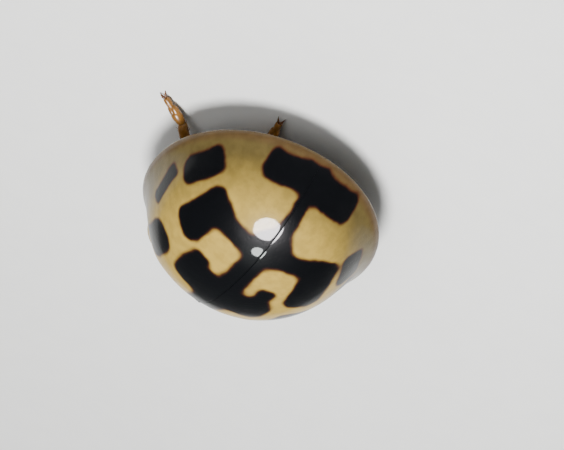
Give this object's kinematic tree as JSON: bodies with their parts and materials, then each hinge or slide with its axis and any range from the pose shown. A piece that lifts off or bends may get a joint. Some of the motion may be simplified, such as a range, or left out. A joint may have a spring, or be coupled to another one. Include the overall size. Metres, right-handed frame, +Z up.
{
  "type": "ladybird beetle",
  "caption": "Life-size still model of a cream ladybird beetle with fused black spots on domed wing cases, standing on its legs.",
  "frame": {"origin": "middle of the beetle's box in plan, at the floor under its feet", "axes": "+Z up from the floor, +Y towards the beetle's rear, so the head points to -Y, and +X towards the beetle's left side"},
  "size_m": [0.0042, 0.0048, 0.0021],
  "materials": {
    "wing_case": "glossy cuticle, cream with black spots",
    "pronotum": "glossy cuticle, cream with a black crown mark",
    "head": "glossy cuticle, black and cream",
    "eye": "glossy black",
    "black_cuticle": "satin black cuticle",
    "brown_cuticle": "satin orange-brown cuticle",
    "dark_brown_cuticle": "satin dark brown cuticle"
  },
  "bodies": {
    "root": {"elytron_right": "wing_case", "elytron_left": "wing_case", "scutellum": "black_cuticle", "pronotum": "pronotum", "prothorax": "black_cuticle", "thorax": "black_cuticle", "abdomen": "black_cuticle", "head": "head", "labrum": "brown_cuticle", "eye_right": "eye", "eye_left": "eye", "antenna_right": "brown_cuticle", "antenna_left": "brown_cuticle", "palp_right": "brown_cuticle", "palp_left": "brown_cuticle", "coxa_front_right": "dark_brown_cuticle", "femur_front_right": "brown_cuticle", "tibia_front_right": "brown_cuticle", "tarsus_front_right": "brown_cuticle", "coxa_front_left": "dark_brown_cuticle", "femur_front_left": "brown_cuticle", "tibia_front_left": "brown_cuticle", "tarsus_front_left": "brown_cuticle", "coxa_middle_right": "dark_brown_cuticle", "femur_middle_right": "brown_cuticle", "tibia_middle_right": "brown_cuticle", "tarsus_middle_right": "brown_cuticle", "coxa_middle_left": "dark_brown_cuticle", "femur_middle_left": "brown_cuticle", "tibia_middle_left": "brown_cuticle", "tarsus_middle_left": "brown_cuticle", "coxa_hind_right": "dark_brown_cuticle", "femur_hind_right": "brown_cuticle", "tibia_hind_right": "brown_cuticle", "tarsus_hind_right": "brown_cuticle", "coxa_hind_left": "dark_brown_cuticle", "femur_hind_left": "brown_cuticle", "tibia_hind_left": "brown_cuticle", "tarsus_hind_left": "brown_cuticle"}
  },
  "joints": []
}
